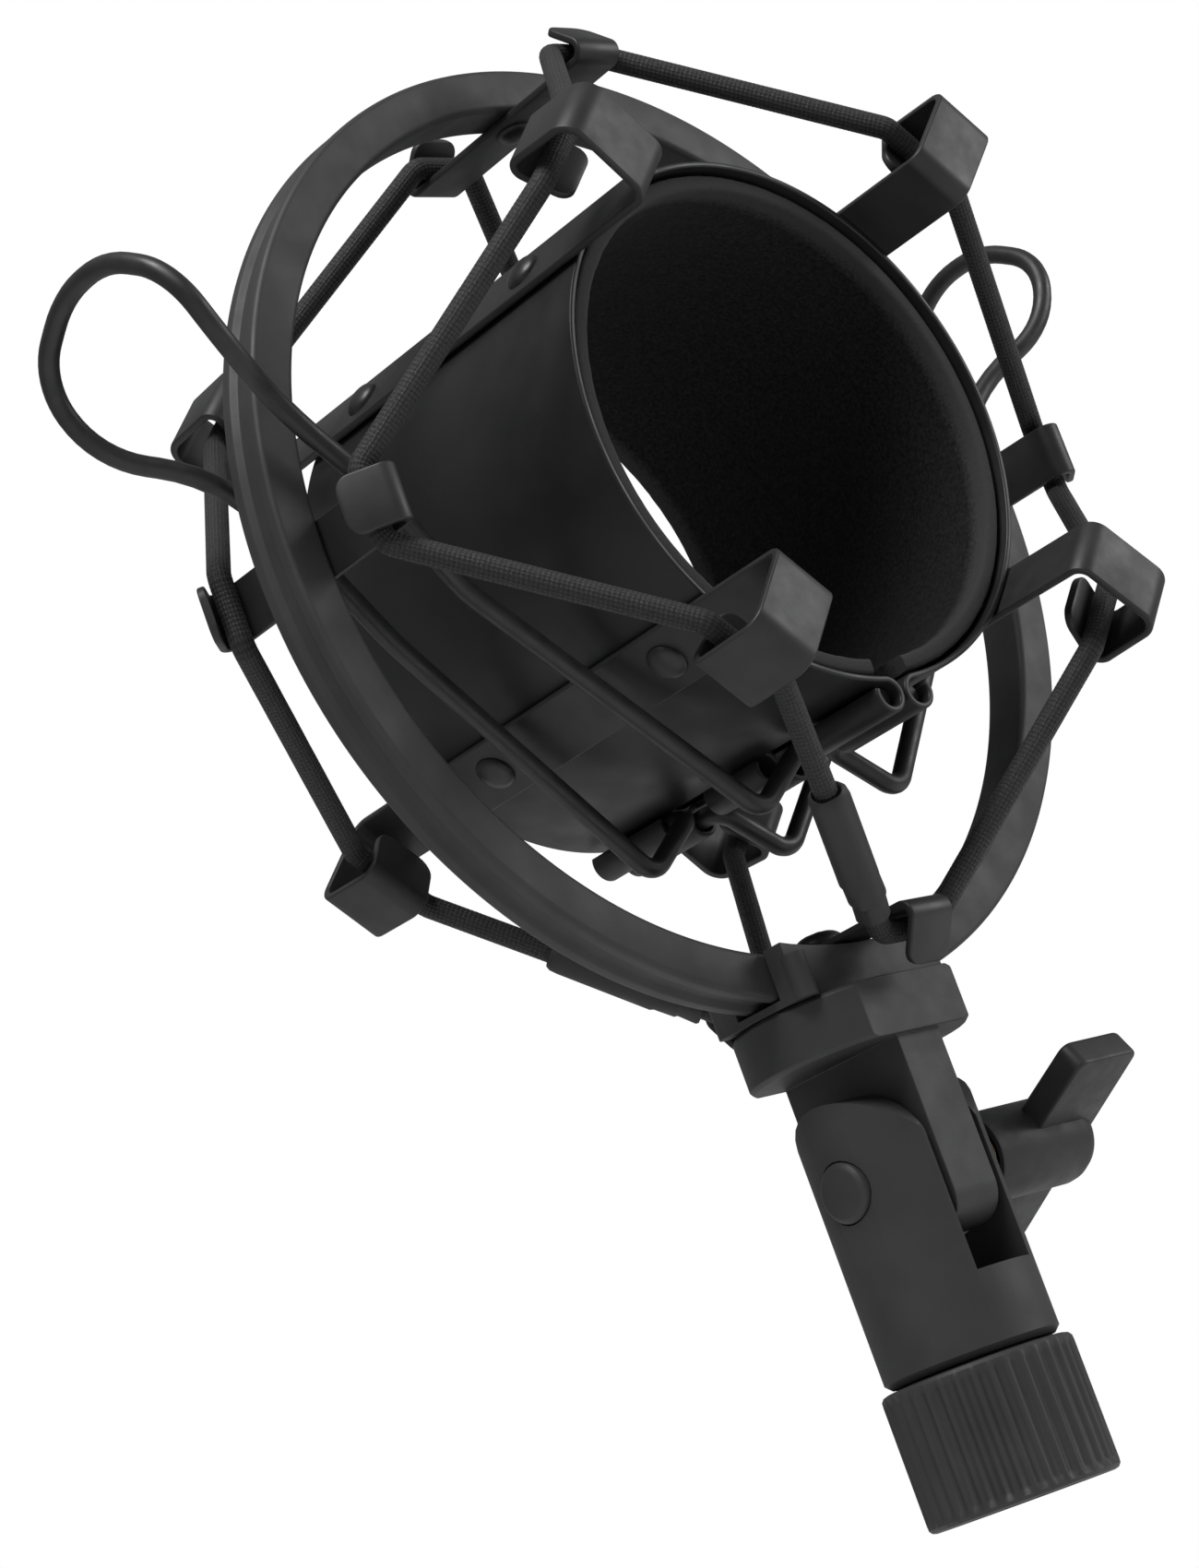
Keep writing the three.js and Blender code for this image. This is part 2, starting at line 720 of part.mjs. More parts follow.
for (const [place, angle] of Object.entries(HOOK_ANGLES)) {
  add("cradle_hook_" + place, cradleHook(angle), BLACK_PAINT);
  const seat = CRADLE_HOOK.r + SHEET / 2 + HAIR;
  for (const [name, end] of [["front", -1], ["rear", 1]]) {
    const made = rivet(SLEEVE.r - SLEEVE.thick / 2 + 0.1, seat, end * RIVET.y, angle, CRADLE_Z, 0);
    add("cradle_rivet_" + place + "_" + name, made, BLACK_STEEL);
  }
}

add("sleeve_spine", sleeveSpine(), BLACK_PAINT);
add("sleeve_left", sleeveShell(-1, [HOOK_ANGLES.lower_left, HOOK_ANGLES.upper_left]), BLACK_PAINT);
add("sleeve_right", sleeveShell(1, [HOOK_ANGLES.lower_right, HOOK_ANGLES.upper_right]), BLACK_PAINT);
add("lining_left", lining(-1), BLACK_FOAM);
add("lining_right", lining(1), BLACK_FOAM);
add("handle_left", handle(-1), BLACK_STEEL);
add("handle_right", handle(1), BLACK_STEEL);
add("front_cord", cord(-1), BLACK_CORD);
add("rear_cord", cord(1), BLACK_CORD);
add("front_cord_sleeve", crimpSleeve(-1), BLACK_PLASTIC);
add("rear_cord_sleeve", crimpSleeve(1), BLACK_PLASTIC);

export default mount;
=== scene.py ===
"""A spider shock mount for a studio microphone: the looks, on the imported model's frame.

Lengths in the constants are millimetres; objects are made in metres. Angles round the ring and the cradle
run clockwise from straight up, seen from the front (-Y).
"""
import math

import bmesh
import bpy
from mathutils import Matrix, Vector, noise


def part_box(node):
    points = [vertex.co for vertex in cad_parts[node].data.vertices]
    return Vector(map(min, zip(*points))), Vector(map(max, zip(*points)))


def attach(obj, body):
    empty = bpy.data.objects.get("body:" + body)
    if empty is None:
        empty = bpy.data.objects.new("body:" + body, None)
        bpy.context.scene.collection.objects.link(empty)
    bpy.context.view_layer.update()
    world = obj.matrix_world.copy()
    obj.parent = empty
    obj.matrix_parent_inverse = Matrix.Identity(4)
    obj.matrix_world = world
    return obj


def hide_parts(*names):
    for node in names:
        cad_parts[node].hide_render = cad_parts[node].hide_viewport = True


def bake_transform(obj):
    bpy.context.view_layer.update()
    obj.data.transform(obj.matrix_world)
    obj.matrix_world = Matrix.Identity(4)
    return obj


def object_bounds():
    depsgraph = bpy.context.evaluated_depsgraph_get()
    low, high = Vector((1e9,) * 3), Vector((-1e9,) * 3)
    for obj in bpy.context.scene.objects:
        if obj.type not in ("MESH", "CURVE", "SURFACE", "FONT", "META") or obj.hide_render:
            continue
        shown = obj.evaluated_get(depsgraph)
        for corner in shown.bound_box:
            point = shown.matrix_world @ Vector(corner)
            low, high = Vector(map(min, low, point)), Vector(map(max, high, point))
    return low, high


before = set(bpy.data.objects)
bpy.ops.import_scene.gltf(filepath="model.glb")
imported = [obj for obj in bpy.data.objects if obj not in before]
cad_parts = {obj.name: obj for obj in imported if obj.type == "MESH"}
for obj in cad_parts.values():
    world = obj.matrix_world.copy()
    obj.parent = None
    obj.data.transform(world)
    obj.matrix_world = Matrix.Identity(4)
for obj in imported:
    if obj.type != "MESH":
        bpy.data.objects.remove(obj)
cad_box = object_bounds()

MM = 0.001
SIDES = {"top": 0, "right": 90, "bottom": 180, "left": 270}
HOOK_ANGLES = {"upper_right": 45, "lower_right": 135, "lower_left": 225, "upper_left": 315}


def box_mm(node):
    """The lowest and highest corner of a CAD node, in millimetres."""
    return [Vector(corner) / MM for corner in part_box(node)]


# ---- sizes from the frame ----
ring_low, ring_high = box_mm("outer_ring")
RING_Z = (ring_low.z + ring_high.z) / 2
RING_OUTER = (ring_high.x - ring_low.x) / 2
RING_HALF = ring_high.y
RING_WALL = 4.6

sleeve_low, sleeve_high = box_mm("sleeve_left")
SLEEVE_HALF = sleeve_high.y
SLEEVE_THICK = 0.6
SLEEVE_R = -sleeve_low.x - SLEEVE_THICK / 2
CRADLE_Z = 102.4
LINING_THICK = 1.6
CURL_R = 1.55
CURL_X = 2.02
CURL_TURN = 290
CURL_Z = CRADLE_Z - math.sqrt((SLEEVE_R + CURL_R) ** 2 - CURL_X**2)
NOTCH = (4.0, 10.6)

PIVOT_Z = sum(c.z for c in box_mm("pivot_bolt")) / 2

# ---- sizes of the details, as in the CAD ----
SHEET = 0.8
BOLT = {"r": 2.1, "head_r": 2.95, "seat": -7.95}
KNOB = {"r": 4.55, "bore": 3.75, "bore_deep": 4}
WING = {"thick": 3.0, "edge": 0.4, "lean": 62}
WING_OUTLINE = [(15.6, 2.6, 0), (16.0, 12.9, 1.2), (25, 12.9, 1.0), (24.7, 2.6, 0)]
RING_HOOK = {"width": 5.7, "r": 45.25, "bend_at": 15.9, "tip": (50.1, 10.9), "bottom_tip": (50.7, 12.2)}
RING_HOOK_CORNER = 1.5
CRADLE_HOOK = [(28.1, 32.8, 1.5), (38.1, 33.4, 1.9), (38.5, 24.5, 1.2), (32.1, 26.7, 0)]
CRADLE_HOOK_WIDTH = 6.8
CRADLE_HOOK_CORNER = 1.6
RIVET = {"r": 2.0, "high": 0.95, "y": 13.3, "gap": 0.02}
WIRE_R = 1.0
HANDLE_HALF = [
    (-CURL_X, -20.5, CURL_Z, 0),
    (-CURL_X, -8.2, CURL_Z, 1.9),
    (-9.7, -8.2, 68.1, 2.2),
    (-34.2, -5.8, 93.9, 12),
    (-40.6, -6.1, 104.3, 12),
    (-48.5, -6.4, 112.3, 17),
    (-56.5, -11.1, 116.6, 10.8),
    (-60, -10.9, 124.6, 7.4),
    (-60.4, -3.6, 129.4, 10.8),
]
CORD_R = 1.15
CORD_BEND = 1.9
CORD_ON_RING = {"r": 47.0, "y": 11.4, "side": 3.6}
CORD_ON_CRADLE = {"r": 35.6, "y": 27.3, "side": 4.6}
CORD_SPLIT = 0.6
CORD_STEP = 0.22
BRAID_YARNS = 10
BRAID_PITCH = 0.9
BRAID_RELIEF = 0.02
CRIMP = {"r": 2.1, "half": 8.0, "from": 10.4}


# ---- materials ----
class Finish:
    """A principled material with helpers that add procedural nodes in the object's own coordinates."""

    def __init__(self, name, roughness, metallic=0.0, specular=0.5):
        self.material = bpy.data.materials.new(name)
        self.material.use_nodes = True
        self.nodes = self.material.node_tree.nodes
        self.links = self.material.node_tree.links
        self.shader = self.nodes["Principled BSDF"]
        self.shader.inputs["Roughness"].default_value = roughness
        self.shader.inputs["Metallic"].default_value = metallic
        self.shader.inputs["Specular IOR Level"].default_value = specular
        self.place = self.nodes.new("ShaderNodeTexCoord").outputs["Object"]

    def noise(self, scale, detail=2.0, rough=0.5):
        made = self.nodes.new("ShaderNodeTexNoise")
        made.inputs["Scale"].default_value = scale
        made.inputs["Detail"].default_value = detail
        made.inputs["Roughness"].default_value = rough
        self.links.new(self.place, made.inputs["Vector"])
        return made.outputs["Fac"]

    def math(self, operation, first, second=None):
        made = self.nodes.new("ShaderNodeMath")
        made.operation = operation
        for socket, value in zip(made.inputs, (first, second)):
            if isinstance(value, (int, float)):
                socket.default_value = value
            elif value is not None:
                self.links.new(value, socket)
        return made.outputs[0]

    def between(self, factor, low, high):
        """A number that runs from low to high as the factor goes from 0.3 to 0.7."""
        made = self.nodes.new("ShaderNodeMapRange")
        self.links.new(factor, made.inputs["Value"])
        made.inputs["From Min"].default_value = 0.3
        made.inputs["From Max"].default_value = 0.7
        made.inputs["To Min"].default_value = low
        made.inputs["To Max"].default_value = high
        return made.outputs["Result"]

    def colours(self, factor, dark, light, low=0.3, high=0.7):
        ramp = self.nodes.new("ShaderNodeValToRGB")
        ramp.color_ramp.elements[0].position = low
        ramp.color_ramp.elements[0].color = (*dark, 1)
        ramp.color_ramp.elements[1].position = high
        ramp.color_ramp.elements[1].color = (*light, 1)
        self.links.new(factor, ramp.inputs["Fac"])
        self.links.new(ramp.outputs["Color"], self.shader.inputs["Base Color"])

    def roughness(self, value):
        self.links.new(value, self.shader.inputs["Roughness"])

    def bump(self, height, strength, distance_mm):
        made = self.nodes.new("ShaderNodeBump")
        made.inputs["Strength"].default_value = strength
        made.inputs["Distance"].default_value = distance_mm * MM
        self.links.new(height, made.inputs["Height"])
        self.links.new(made.outputs["Normal"], self.shader.inputs["Normal"])


def powder_coat():
    """Matt charcoal powder coat: a fine orange peel with slight clouds in its gloss."""
    made = Finish("powder_coat", 0.55, specular=0.3)
    made.colours(made.noise(160, 3), (0.020, 0.020, 0.0205), (0.027, 0.027, 0.0275))
    made.roughness(made.between(made.noise(260, 4), 0.5, 0.62))
    grain = made.math("ADD", made.noise(3200, 2), made.math("MULTIPLY", made.noise(1100, 1), 0.6))
    made.bump(grain, 0.35, 0.03)
    return made.material


def sheet_coat():
    """The thinner coat on the sprung sheet and the hooks, a little smoother than on the castings."""
    made = Finish("sheet_coat", 0.5, specular=0.3)
    made.colours(made.noise(140, 3), (0.010, 0.010, 0.0105), (0.015, 0.015, 0.0155))
    made.roughness(made.between(made.noise(300, 4), 0.42, 0.56))
    made.bump(made.noise(2600, 2), 0.25, 0.025)
    return made.material


def sprung_sheet():
    """The cradle's sprung steel: darker and a little sleeker than the hooks."""
    made = Finish("sprung_sheet", 0.45, specular=0.25)
    made.colours(made.noise(90, 3), (0.0065, 0.0065, 0.007), (0.010, 0.010, 0.0105))
    made.roughness(made.between(made.noise(240, 4), 0.38, 0.52))
    made.bump(made.noise(2600, 2), 0.2, 0.02)
    return made.material


def black_steel():
    """Blackened steel, for the rivets and screws."""
    made = Finish("black_steel", 0.4, metallic=0.15, specular=0.35)
    made.colours(made.noise(500, 3), (0.010, 0.010, 0.0105), (0.016, 0.016, 0.0165))
    made.roughness(made.between(made.noise(700, 4), 0.34, 0.5))
    made.bump(made.noise(4200, 2), 0.15, 0.02)
    return made.material


def black_wire():
    """The handles' drawn wire, a little less even than the rivets."""
    made = Finish("black_wire", 0.42, metallic=0.1, specular=0.35)
    made.colours(made.noise(400, 3), (0.010, 0.010, 0.0105), (0.016, 0.016, 0.0165))
    made.roughness(made.between(made.noise(600, 4), 0.38, 0.52))
    made.bump(made.noise(3000, 2), 0.2, 0.02)
    return made.material


def black_plastic():
    """The moulded knob, with a fine grain."""
    made = Finish("black_plastic", 0.5, specular=0.3)
    made.colours(made.noise(220, 2), (0.014, 0.014, 0.0145), (0.019, 0.019, 0.0195))
    made.roughness(made.between(made.noise(500, 4), 0.46, 0.6))
    made.bump(made.noise(2400, 3), 0.4, 0.03)
    return made.material


def rubber_tube():
    """The sleeve over a cord's join."""
    made = Finish("rubber_tube", 0.6, specular=0.25)
    made.colours(made.noise(500, 3), (0.016, 0.016, 0.0165), (0.024, 0.024, 0.0245))
    made.roughness(made.between(made.noise(500, 4), 0.5, 0.7))
    made.bump(made.noise(1800, 4), 0.5, 0.04)
    return made.material


def felt():
    """Short-pile black felt on a foam backing, with a painted highlight: its colour grows paler along its two
    cut edges.
    """
    highlight_band_from, highlight_band_to = 18.8 * MM, 21.2 * MM
    made = Finish("black_felt", 0.95, specular=0.08)
    made.shader.inputs["Sheen Weight"].default_value = 0.02
    made.shader.inputs["Sheen Roughness"].default_value = 0.5
    pile = made.noise(2600, 5, 0.75)
    split = made.nodes.new("ShaderNodeSeparateXYZ")
    made.links.new(made.place, split.inputs[0])
    from_middle = made.math("ABSOLUTE", split.outputs[1])
    # painted highlight: a paler band in the colour along both cut edges of the felt, where light catches the
    # rim
    edge = made.nodes.new("ShaderNodeMapRange")
    ragged = made.math("ADD", from_middle, made.math("MULTIPLY", pile, 0.0012))
    made.links.new(ragged, edge.inputs["Value"])
    edge.inputs["From Min"].default_value = highlight_band_from
    edge.inputs["From Max"].default_value = highlight_band_to
    edge.inputs["To Max"].default_value = 0.8
    # the pile's own tone plus the painted highlight band along the cut edges
    paler = made.math("ADD", pile, edge.outputs["Result"])
    made.colours(paler, (0.004, 0.004, 0.0045), (0.032, 0.032, 0.033), 0.38, 1.3)
    made.bump(pile, 0.9, 0.12)
    return made.material


def braid():
    """A knitted jacket: crossing yarns with a few paler fibres. U runs round the cord and V along it."""
    made = Finish("braided_cord", 0.7, specular=0.25)
    made.shader.inputs["Sheen Weight"].default_value = 0.03
    uv = made.nodes.new("ShaderNodeUVMap").outputs["UV"]
    split = made.nodes.new("ShaderNodeSeparateXYZ")
    made.links.new(uv, split.inputs[0])
    turns = made.math("MULTIPLY", split.outputs[0], 2 * math.pi * BRAID_YARNS)
    along = made.math("MULTIPLY", split.outputs[1], 2 * math.pi)
    one = made.math("SINE", made.math("ADD", turns, along))
    other = made.math("SINE", made.math("SUBTRACT", turns, along))
    weave = made.math("MULTIPLY", one, other)
    fibres = made.noise(9000, 3, 0.7)
    height = made.math("ADD", made.math("MULTIPLY", weave, 0.5), fibres)
    made.colours(height, (0.007, 0.007, 0.0075), (0.024, 0.024, 0.025), 0.4, 1.25)
    glints = made.noise(5200, 1, 0.9)
    made.roughness(made.between(glints, 0.85, 0.3))
    made.bump(height, 0.8, 0.08)
    return made.material


def brass():
    """The knob's threaded insert."""
    made = Finish("brass", 0.32, metallic=1.0)
    made.colours(made.noise(900, 3), (0.45, 0.3, 0.12), (0.58, 0.41, 0.18))
    made.roughness(made.between(made.noise(1200, 4), 0.25, 0.42))
    return made.material


def nylon():
    """The friction washers."""
    made = Finish("nylon", 0.55)
    made.colours(made.noise(300, 2), (0.62, 0.6, 0.55), (0.7, 0.68, 0.63))
    made.bump(made.noise(2400, 2), 0.2, 0.02)
    return made.material


COAT = powder_coat()
SHEET_COAT = sheet_coat()
SPRUNG = sprung_sheet()
STEEL = black_steel()
WIRE = black_wire()
PLASTIC = black_plastic()
RUBBER = rubber_tube()
FELT = felt()
BRAID = braid()
BRASS = brass()
NYLON = nylon()


# ---- lines ----
def rounded(corners, step=7.0):
    """A line of corners, each an (x, y, z, bend radius), with every bend made an arc in steps of degrees."""
    points = [Vector(c[:3]) for c in corners]
    line = [points[0]]
    for before, at, after, corner in zip(points, points[1:], points[2:], corners[1:]):
        back = (before - at).normalized()
        on = (after - at).normalized()
        half = back.angle(on) / 2
        turn = math.pi - 2 * half
        steps = max(1, round(math.degrees(turn) / step))
        centre = at + (back + on).normalized() * (corner[3] / math.sin(half))
        start = at + back * (corner[3] / math.tan(half)) - centre
        axis = back.cross(on).normalized()
        for i in range(steps + 1):
            line.append(centre + Matrix.Rotation(-turn * i / steps, 3, axis) @ start)
    line.append(points[-1])
    return line


def rounded_flat(corners, step=9.0):
    """The same for corners in a plane, each an (a, b, bend radius)."""
    line = rounded([(a, b, 0, bend) for a, b, bend in corners], step)
    return [(p.x, p.y) for p in line]


def arc(r, start, end, steps):
    """Points on a circle round the origin, by angles clockwise from straight up."""
    turns = [math.radians(start + (end - start) * i / steps) for i in range(steps + 1)]
    return [(r * math.sin(t), r * math.cos(t)) for t in turns]


def even_line(line, gap):
    """The same 3-D line with a point about every gap along each straight stretch."""
    out = [line[0]]
    for start, end in zip(line, line[1:]):
        count = max(1, round((end - start).length / gap))
        out += [start.lerp(end, i / count) for i in range(1, count + 1)]
    return out


def with_end_points(line, distances):
    """A flat line with extra points at these distances from both ends."""

    def from_start(points):
        points = [Vector(p) for p in points]
        first, second = points[0], points[1]
        way = (second - first).normalized()
        return [tuple(first)] + [tuple(first + way * d) for d in distances] + [tuple(p) for p in points[1:]]

    return from_start(from_start(line)[::-1])[::-1]


# ---- meshes ----
# a turned piece is closed on its axis by a circle of this radius
CLOSED = 0.02


def piece(name, points, faces, material, smooth_angle=35):
    """A mesh object from points in millimetres."""
    mesh = bpy.data.meshes.new(name)
    mesh.from_pydata([Vector(p) * MM for p in points], [], faces)
    mesh.validate()
    mesh.materials.append(material)
    made = bpy.data.objects.new(name, mesh)
    bpy.context.collection.objects.link(made)
    shade(made, smooth_angle)
    return made


def shade(made, smooth_angle):
    """Smooth shading except across edges sharper than the angle."""
    mesh = made.data
    mesh.shade_smooth()
    mesh.set_sharp_from_angle(angle=math.radians(smooth_angle))


def loft(rings, closed_ring=True, capped=True, joined=False):
    """Faces between rings of equally many points; joined closes the last ring on the first."""
    count = len(rings[0])
    points = [p for ring in rings for p in ring]
    faces = []
    pairs = len(rings) if joined else len(rings) - 1
    across = count if closed_ring else count - 1
    for i in range(pairs):
        low, high = i * count, (i + 1) % len(rings) * count
        for j in range(across):
            k = (j + 1) % count
            faces.append((low + j, low + k, high + k, high + j))
    if capped and not joined:
        faces.append(tuple(range(count))[::-1])
        faces.append(tuple(range(len(points) - count, len(points))))
    return points, faces


def turned(name, profile, material, place, segments=96, joined=False, shape=None):
    """A turned piece from (radius, height) points. place puts (x, y, height) in the frame, and shape gives
    the radius from (radius, height, angle) where the piece isn't round."""
    rings = []
    for r, h in profile:
        ring = []
        for i in range(segments):
            t = 2 * math.pi * i / segments
            reach = shape(r, h, t) if shape else r
            ring.append(place(reach * math.cos(t), reach * math.sin(t), h))
        rings.append(ring)
    points, faces = loft(rings, joined=joined)
    return piece(name, points, faces, material)


def upright(x, y, h):
    return (x, y, h)


def along_x(x, y, h):
    """For a piece turned round the tilt axis."""
    return (h, x, PIVOT_Z + y)


def round_ring(x, y, h):
    return (x, h, RING_Z + y)


def spoke(angle, y, z):
    """For a piece turned round a spoke that points out from a Y axis at height z."""
    a = math.radians(angle)
    out = Vector((math.sin(a), 0, math.cos(a)))
    side = Vector((-math.cos(a), 0, math.sin(a)))
    return lambda u, v, h: out * h + side * u + Vector((0, y + v, z))


def on_axis(angle, z):
    """For a flat outline of (radius, y) whose width w runs along the tangent at an angle round a Y axis."""
    a = math.radians(angle)
    return lambda r, y, w: (r * math.sin(a) - w * math.cos(a), y, z + r * math.cos(a) + w * math.sin(a))


def in_cradle(side):
    """For a flat outline of (x, z) round the cradle's axis whose width runs along Y, mirrored by side."""
    return lambda a, b, w: (side * a, w, CRADLE_Z + b)


def sheet_section(low, high, thick, rim, cells=1):
    """A closed loop of (across, through) points: a flat bar's section with rounded rims."""
    half = thick / 2
    corners = [
        (high - rim, half - rim, 90),
        (high - rim, rim - half, 0),
        (low + rim, rim - half, -90),
        (low + rim, half - rim, 180),
    ]
    loop = []
    for i, (w, t, start) in enumerate(corners):
        for turn in (0, 30, 60, 90):
            a = math.radians(start - turn)
            loop.append((w + rim * math.cos(a), t + rim * math.sin(a)))
        next_w = corners[(i + 1) % 4][0]
        if i % 2 == 1:
            loop += [(w + (next_w - w) * j / cells, loop[-1][1]) for j in range(1, cells)]
    return loop


def ribbon(name, line, widths, thick, place, material, rim=0.2, cells=1, rough=None):
    """A bent sheet: a flat line given a thickness, and a (low, high) width for each of its points. rough
    is how deep its faces are dented, in millimetres."""
    rings = []
    for i, (a, b) in enumerate(line):
        here = Vector((a, b))
        before = here - Vector(line[max(i - 1, 0)])
        after = Vector(line[min(i + 1, len(line) - 1)]) - here
        before = before if before.length > 1e-6 else after
        after = after if after.length > 1e-6 else before
        along = (before.normalized() + after.normalized()).normalized()
        normal = Vector((-along.y, along.x)) / max(along.dot(after.normalized()), 0.5)
        ring = []
        for w, t in sheet_section(*widths[i], thick, rim, cells):
            p = here + normal * t
            spot = Vector(place(p.x, p.y, w))
            if rough and abs(t) > thick / 2 - rim / 2:
                lift = rough * (noise.fractal(spot * 0.9, 0.6, 2.0, 3) - 0.2)
                spot = Vector(place(*(here + normal * (t + math.copysign(min(lift, 0), t))), w))
            ring.append(spot)
        rings.append(ring)
    points, faces = loft(rings)
    return piece(name, points, faces, material, 45)


def tube(name, line, r, material, sides=20, relief=None, pitch=None):
    """A round bar along a 3-D line, with U round it and V along it. relief(u, v) is added to the radius.
    Its section is carried along the line without twist."""
    lengths = [0.0]
    for start, end in zip(line, line[1:]):
        lengths.append(lengths[-1] + (end - start).length)
    turns = max(1, round(lengths[-1] / pitch)) if pitch else lengths[-1] / (2 * math.pi * r)
    rings = []
    starts_along_y = abs((line[1] - line[0]).normalized().y) >= 0.9
    across = Vector((0, 0, 1)) if starts_along_y else Vector((0, 1, 0))
    for i, at in enumerate(line):
        before = at - line[max(i - 1, 0)]
        after = line[min(i + 1, len(line) - 1)] - at
        along = (before.normalized() + after.normalized()).normalized()
        first = (across - along * across.dot(along)).normalized()
        second = along.cross(first)
        across = first
        v = lengths[i] / lengths[-1] * turns
        ring = []
        for j in range(sides):
            t = 2 * math.pi * j / sides
            reach = r + (relief(j / sides, v) if relief else 0)
            ring.append(at + (first * math.cos(t) + second * math.sin(t)) * reach)
        rings.append(ring)
    points, faces = loft(rings)
    made = piece(name, points, faces, material, 60)
    layer = made.data.uv_layers.new(name="UVMap")
    for face in made.data.polygons:
        for corner in face.loop_indices:
            index = made.data.loops[corner].vertex_index
            i, j = divmod(index, sides)
            u = j / sides
            if len(face.vertices) == 4 and u == 0 and max(k % sides for k in face.vertices) == sides - 1:
                u = 1.0
            layer.data[corner].uv = (u, lengths[i] / lengths[-1] * turns)
    return made


def from_cad(node, material, slot, body, edge_mm):
    """A CAD node's own shape with welded, rounded edges and smooth turned faces."""
    sharp = 32
    work = bmesh.new()
    work.from_mesh(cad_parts[node].data)
    bmesh.ops.remove_doubles(work, verts=work.verts, dist=0.004 * MM)
    flat = math.radians(0.6)
    bmesh.ops.dissolve_limit(work, angle_limit=flat, verts=work.verts, edges=work.edges)
    mesh = bpy.data.meshes.new(node + "_finished")
    work.to_mesh(mesh)
    work.free()
    mesh.materials.clear()
    mesh.materials.append(material)
    made = bpy.data.objects.new(node + "_finished", mesh)
    bpy.context.collection.objects.link(made)
    shade(made, sharp)
    bevel = made.modifiers.new("edges", "BEVEL")
    bevel.width = edge_mm * MM
    bevel.segments = 3
    bevel.limit_method = "ANGLE"
    bevel.angle_limit = math.radians(sharp)
    made.modifiers.new("normals", "WEIGHTED_NORMAL")
    stand_for(made, body, slot, node)


def stand_for(made, body, slot, *nodes):
    """Puts a piece on a body in place of the CAD nodes; the slot is not used."""
    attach(made, body)
    if nodes:
        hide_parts(*nodes)


# ---- collar ----
def collar():
    """Ribbed outside, and inside a 27 turns per inch thread that stops under the lip."""
    ribs = 36
    outer = box_mm("knurled_collar")[1].x
    height = box_mm("knurled_collar")[1].z
    bore, lip, lip_hole = 7.95, 3.0, 6.8
    pitch = 25.4 / 27

    def ribbed(r, h, t):
        if r < outer - 0.75:
            return r
        wave = math.cos(ribs * t)
        fade = min(1, max(0, (h - 0.5) / 0.8), max(0, (height - 0.5 - h) / 0.8))
        return r - 0.46 * fade * (1 - max(0, 0.5 + 0.75 * wave) / 1.25)

    outside = [
        (lip_hole, height - 0.2),
        (lip_hole + 0.2, height),
        (outer - 0.7, height),
        (outer - 0.3, height - 0.12),
        (outer - 0.04, height - 0.45),
        (outer, height - 0.9),
        (outer, height - 1.3),
        (outer, height / 2),
        (outer, 1.3),
        (outer, 0.9),
        (outer - 0.04, 0.45),
        (outer - 0.3, 0.12),
        (outer - 0.7, 0),
        (bore + 0.35, 0),
        (bore, 0.35),
    ]
    inside = [(bore, 0.4 + (height - lip - 0.6) * i / 84) for i in range(85)]
    under_lip = [(bore, height - lip), (lip_hole + 0.1, height - lip), (lip_hole, height - lip + 0.1)]

    def shape(r, h, t):
        if r == bore and 0.4 < h < height - lip - 0.3:
            depth = abs(((h / pitch - t / (2 * math.pi)) % 1) - 0.5) * 2
            fade = min(1, (h - 0.4) / pitch, (height - lip - 0.3 - h) / pitch)
            return r - 0.5 * depth * fade
        return ribbed(r, h, t)

    profile = outside + inside + under_lip
    made = turned("collar", profile, COAT, upright, segments=ribs * 12, joined=True, shape=shape)
    stand_for(made, "collar", "paint", "knurled_collar")


# ---- pivot ----
def bolt():
    """The pivot bolt: a plain round head with a chamfer round its flat face."""
    low, high = box_mm("pivot_bolt")
    head, end = low.x, high.x
    r, wide, seat = BOLT["r"], BOLT["head_r"], BOLT["seat"]
    profile = [
        (CLOSED, head),
        (wide - 0.6, head),
        (wide - 0.5, head + 0.03),
        (wide - 0.1, head + 0.3),
        (wide, head + 0.45),
        (wide, seat - 0.1),
        (wide - 0.1, seat),
        (r, seat),
        (r, end - 0.5),
        (r - 0.5, end),
        (CLOSED, end),
    ]
    made = turned("bolt", profile, COAT, along_x, segments=72)
    stand_for(made, "stem", "dark_steel", "pivot_bolt")


def wing_knob():
    """Moulded in one: a boss with a rounded end, and two leaning wings."""
    low, high = box_mm("wing_knob")
    start, end = low.x, high.x
    r, bore, floor = KNOB["r"], KNOB["bore"], end - KNOB["bore_deep"]
    profile = [
        (bore, start + 0.3),
        (bore + 0.35, start),
        (r - 0.5, start),
        (r - 0.1, start + 0.15),
        (r, start + 0.5),
        (r, end - 2.9),
        (r - 0.15, end - 2.1),
        (r - 0.6, end - 1.2),
        (r - 1.5, end - 0.5),
        (r - 2.6, end - 0.15),
        (CLOSED, end),
        (CLOSED, floor),
        (bore, floor),
    ]
    boss = turned("knob_boss", profile, PLASTIC, along_x, segments=72, joined=True)
    stand_for(boss, "knob", "knob_plastic", "wing_knob")
    outline = rounded_flat(WING_OUTLINE, 15)
    for name, turn in (("upper", WING["lean"]), ("lower", WING["lean"] + 180)):
        wing_plate("knob_wing_" + name, outline, WING["thick"], turn, boss)


